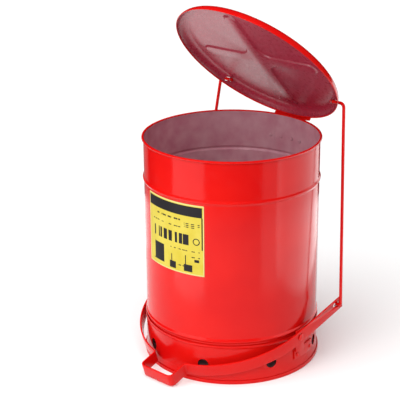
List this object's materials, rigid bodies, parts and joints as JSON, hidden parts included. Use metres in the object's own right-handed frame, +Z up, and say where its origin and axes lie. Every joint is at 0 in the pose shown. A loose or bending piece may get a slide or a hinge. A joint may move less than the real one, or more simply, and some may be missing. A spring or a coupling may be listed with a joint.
{
  "type": "foot-operated waste bin",
  "caption": "Round red steel waste bin on a vented base, with a domed hinged lid that a foot lever with a pedal loop opens through side link rods.",
  "frame": {"origin": "middle of the footprint box, on the floor under the base ring", "axes": "+Z up, -Y towards the pedal, +Y towards the lid hinge, +X to the right seen from the pedal's side"},
  "size_m": [0.4018, 0.4282, 0.7057],
  "materials": {
    "red_enamel": "gloss enamel",
    "galvanised": "galvanised",
    "zinc_steel": "zinc plated",
    "label_yellow": "satin film"
  },
  "bodies": {
    "can": {"drum_shell": "red_enamel", "floor_pan": "galvanised", "base_skirt": "red_enamel", "base_ring": "red_enamel", "label_plate": "label_yellow", "hinge_body_leaf": "red_enamel", "hinge_body_rivet_1": "red_enamel", "hinge_body_rivet_2": "red_enamel", "hinge_body_rivet_3": "red_enamel", "hinge_body_rivet_4": "red_enamel", "hinge_pin": "zinc_steel", "pivot_bracket_right": "red_enamel", "pivot_bracket_left": "red_enamel", "bracket_rivet_right_1": "red_enamel", "bracket_rivet_right_2": "red_enamel", "bracket_rivet_left_1": "red_enamel", "bracket_rivet_left_2": "red_enamel", "pivot_pin_right": "zinc_steel", "pivot_pin_left": "zinc_steel", "pivot_washer_right": "zinc_steel", "pivot_washer_left": "zinc_steel"},
    "lid": {"lid_pan": "red_enamel", "hinge_lid_leaf": "red_enamel", "hinge_lid_rivet_1": "red_enamel", "hinge_lid_rivet_2": "red_enamel", "hinge_lid_rivet_3": "red_enamel", "hinge_lid_rivet_4": "red_enamel"},
    "foot_lever": {"foot_lever": "red_enamel"},
    "link_right": {"link_rod_right": "red_enamel", "link_clip_top_right": "zinc_steel", "link_clip_foot_right": "zinc_steel"},
    "link_left": {"link_rod_left": "red_enamel", "link_clip_top_left": "zinc_steel", "link_clip_foot_left": "zinc_steel"}
  },
  "joints": [
    {"name": "lid_hinge", "type": "hinge", "parent": "can", "child": "lid", "pos_m": [0, 0.19834, 0.426], "axis": [1, 0, 0], "range_deg": [0, 46]},
    {"name": "lever_pivot", "type": "hinge", "parent": "can", "child": "foot_lever", "pos_m": [0, 0.00394, 0.0775], "axis": [1, 0, 0], "range_deg": [-27.5, 0]},
    {"name": "link_right_hook", "type": "hinge", "parent": "lid", "child": "link_right", "pos_m": [0, 0.16011, 0.50964], "axis": [1, 0, 0], "range_deg": [-38.8, 0]},
    {"name": "link_left_hook", "type": "hinge", "parent": "lid", "child": "link_left", "pos_m": [0, 0.16011, 0.50964], "axis": [1, 0, 0], "range_deg": [-38.8, 0]}
  ],
  "couplings": [
    {"joint": "lever_pivot", "follows": "lid_hinge", "ratio": -0.5963},
    {"joint": "link_right_hook", "follows": "lid_hinge", "ratio": -0.84093},
    {"joint": "link_left_hook", "follows": "lid_hinge", "ratio": -0.84093}
  ]
}
